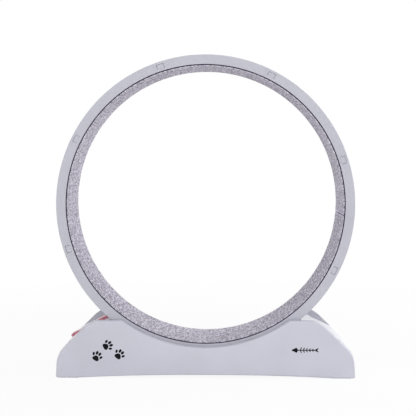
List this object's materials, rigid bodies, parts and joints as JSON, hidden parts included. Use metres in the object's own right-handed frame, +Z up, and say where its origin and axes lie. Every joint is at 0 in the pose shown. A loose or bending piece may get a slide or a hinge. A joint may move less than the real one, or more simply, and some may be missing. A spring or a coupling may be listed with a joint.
{
  "type": "cat exercise wheel",
  "caption": "Large carpet-lined running wheel for a cat, turning on rubber-tyred rollers in a low two-sided base with a sliding lock.",
  "frame": {"origin": "on the floor under the middle of the object's box", "axes": "+Z up, +X to the right seen from the front, +Y to the back, along the wheel's axis"},
  "size_m": [0.9128, 0.31, 0.9822],
  "materials": {
    "moulded_grey": "fine satin moulded surface, pale cool grey",
    "moulded_white": "fine satin moulded surface, near white",
    "moulded_pink": "satin moulded surface, dusty pink",
    "white_nylon": "waxy natural nylon",
    "grey_carpet": "needle-felt carpet, speckled mid grey",
    "black_rubber": "matt black rubber",
    "steel": "bright zinc-plated steel"
  },
  "bodies": {
    "base": {"front_panel": "moulded_grey", "front_inner_plate": "moulded_grey", "front_panel_screw_1": "steel", "front_panel_screw_2": "steel", "front_panel_screw_3": "steel", "front_panel_screw_4": "steel", "front_left_foot": "black_rubber", "front_right_foot": "black_rubber", "rear_panel": "moulded_grey", "rear_inner_plate": "moulded_grey", "rear_panel_screw_1": "steel", "rear_panel_screw_2": "steel", "rear_panel_screw_3": "steel", "rear_panel_screw_4": "steel", "rear_left_foot": "black_rubber", "rear_right_foot": "black_rubber", "left_end_cover": "moulded_white", "left_tie_beam": "moulded_grey", "left_axle": "steel", "left_long_spacer": "white_nylon", "left_front_spacer": "white_nylon", "left_rear_spacer": "white_nylon", "right_end_cover": "moulded_white", "right_tie_beam": "moulded_grey", "right_axle": "steel", "right_long_spacer": "white_nylon", "right_front_spacer": "white_nylon", "right_rear_spacer": "white_nylon", "slide_guide": "moulded_white", "slide_bridge": "moulded_white"},
    "running_ring": {"wheel_segment_1": "moulded_grey", "wheel_segment_2": "moulded_grey", "wheel_segment_3": "moulded_grey", "wheel_segment_4": "moulded_grey", "wheel_segment_5": "moulded_grey", "wheel_segment_6": "moulded_grey", "wheel_segment_7": "moulded_grey", "wheel_segment_8": "moulded_grey", "carpet_half_1": "grey_carpet", "carpet_half_2": "grey_carpet"},
    "roller_1": {"roller_tyre_1": "black_rubber", "roller_hub_1": "white_nylon", "front_bearing_1": "steel", "rear_bearing_1": "steel"},
    "roller_2": {"roller_tyre_2": "black_rubber", "roller_hub_2": "white_nylon", "front_bearing_2": "steel", "rear_bearing_2": "steel"},
    "roller_3": {"roller_tyre_3": "black_rubber", "roller_hub_3": "white_nylon", "front_bearing_3": "steel", "rear_bearing_3": "steel"},
    "roller_4": {"roller_tyre_4": "black_rubber", "roller_hub_4": "white_nylon", "front_bearing_4": "steel", "rear_bearing_4": "steel"},
    "lock": {"lock_slide": "moulded_pink", "brake_pad": "black_rubber"}
  },
  "joints": [
    {"name": "wheel_spin", "type": "hinge", "parent": "base", "child": "running_ring", "pos_m": [0, 0, 0.5272], "axis": [0, 1, 0], "continuous": true},
    {"name": "roller_1_spin", "type": "hinge", "parent": "base", "child": "roller_1", "pos_m": [-0.25935, -0.1065, 0.14269], "axis": [0, 1, 0], "continuous": true},
    {"name": "roller_2_spin", "type": "hinge", "parent": "base", "child": "roller_2", "pos_m": [0.25935, -0.1065, 0.14269], "axis": [0, 1, 0], "continuous": true},
    {"name": "roller_3_spin", "type": "hinge", "parent": "base", "child": "roller_3", "pos_m": [0.25935, 0.1065, 0.14269], "axis": [0, 1, 0], "continuous": true},
    {"name": "roller_4_spin", "type": "hinge", "parent": "base", "child": "roller_4", "pos_m": [-0.25935, 0.1065, 0.14269], "axis": [0, 1, 0], "continuous": true},
    {"name": "lock_travel", "type": "slide", "parent": "base", "child": "lock", "axis": [0.889, 0, 0.4579], "range_m": [0, 0.012]}
  ],
  "couplings": [
    {"joint": "roller_1_spin", "follows": "wheel_spin", "ratio": -12.632},
    {"joint": "roller_2_spin", "follows": "wheel_spin", "ratio": -12.632},
    {"joint": "roller_3_spin", "follows": "wheel_spin", "ratio": -12.632},
    {"joint": "roller_4_spin", "follows": "wheel_spin", "ratio": -12.632}
  ]
}
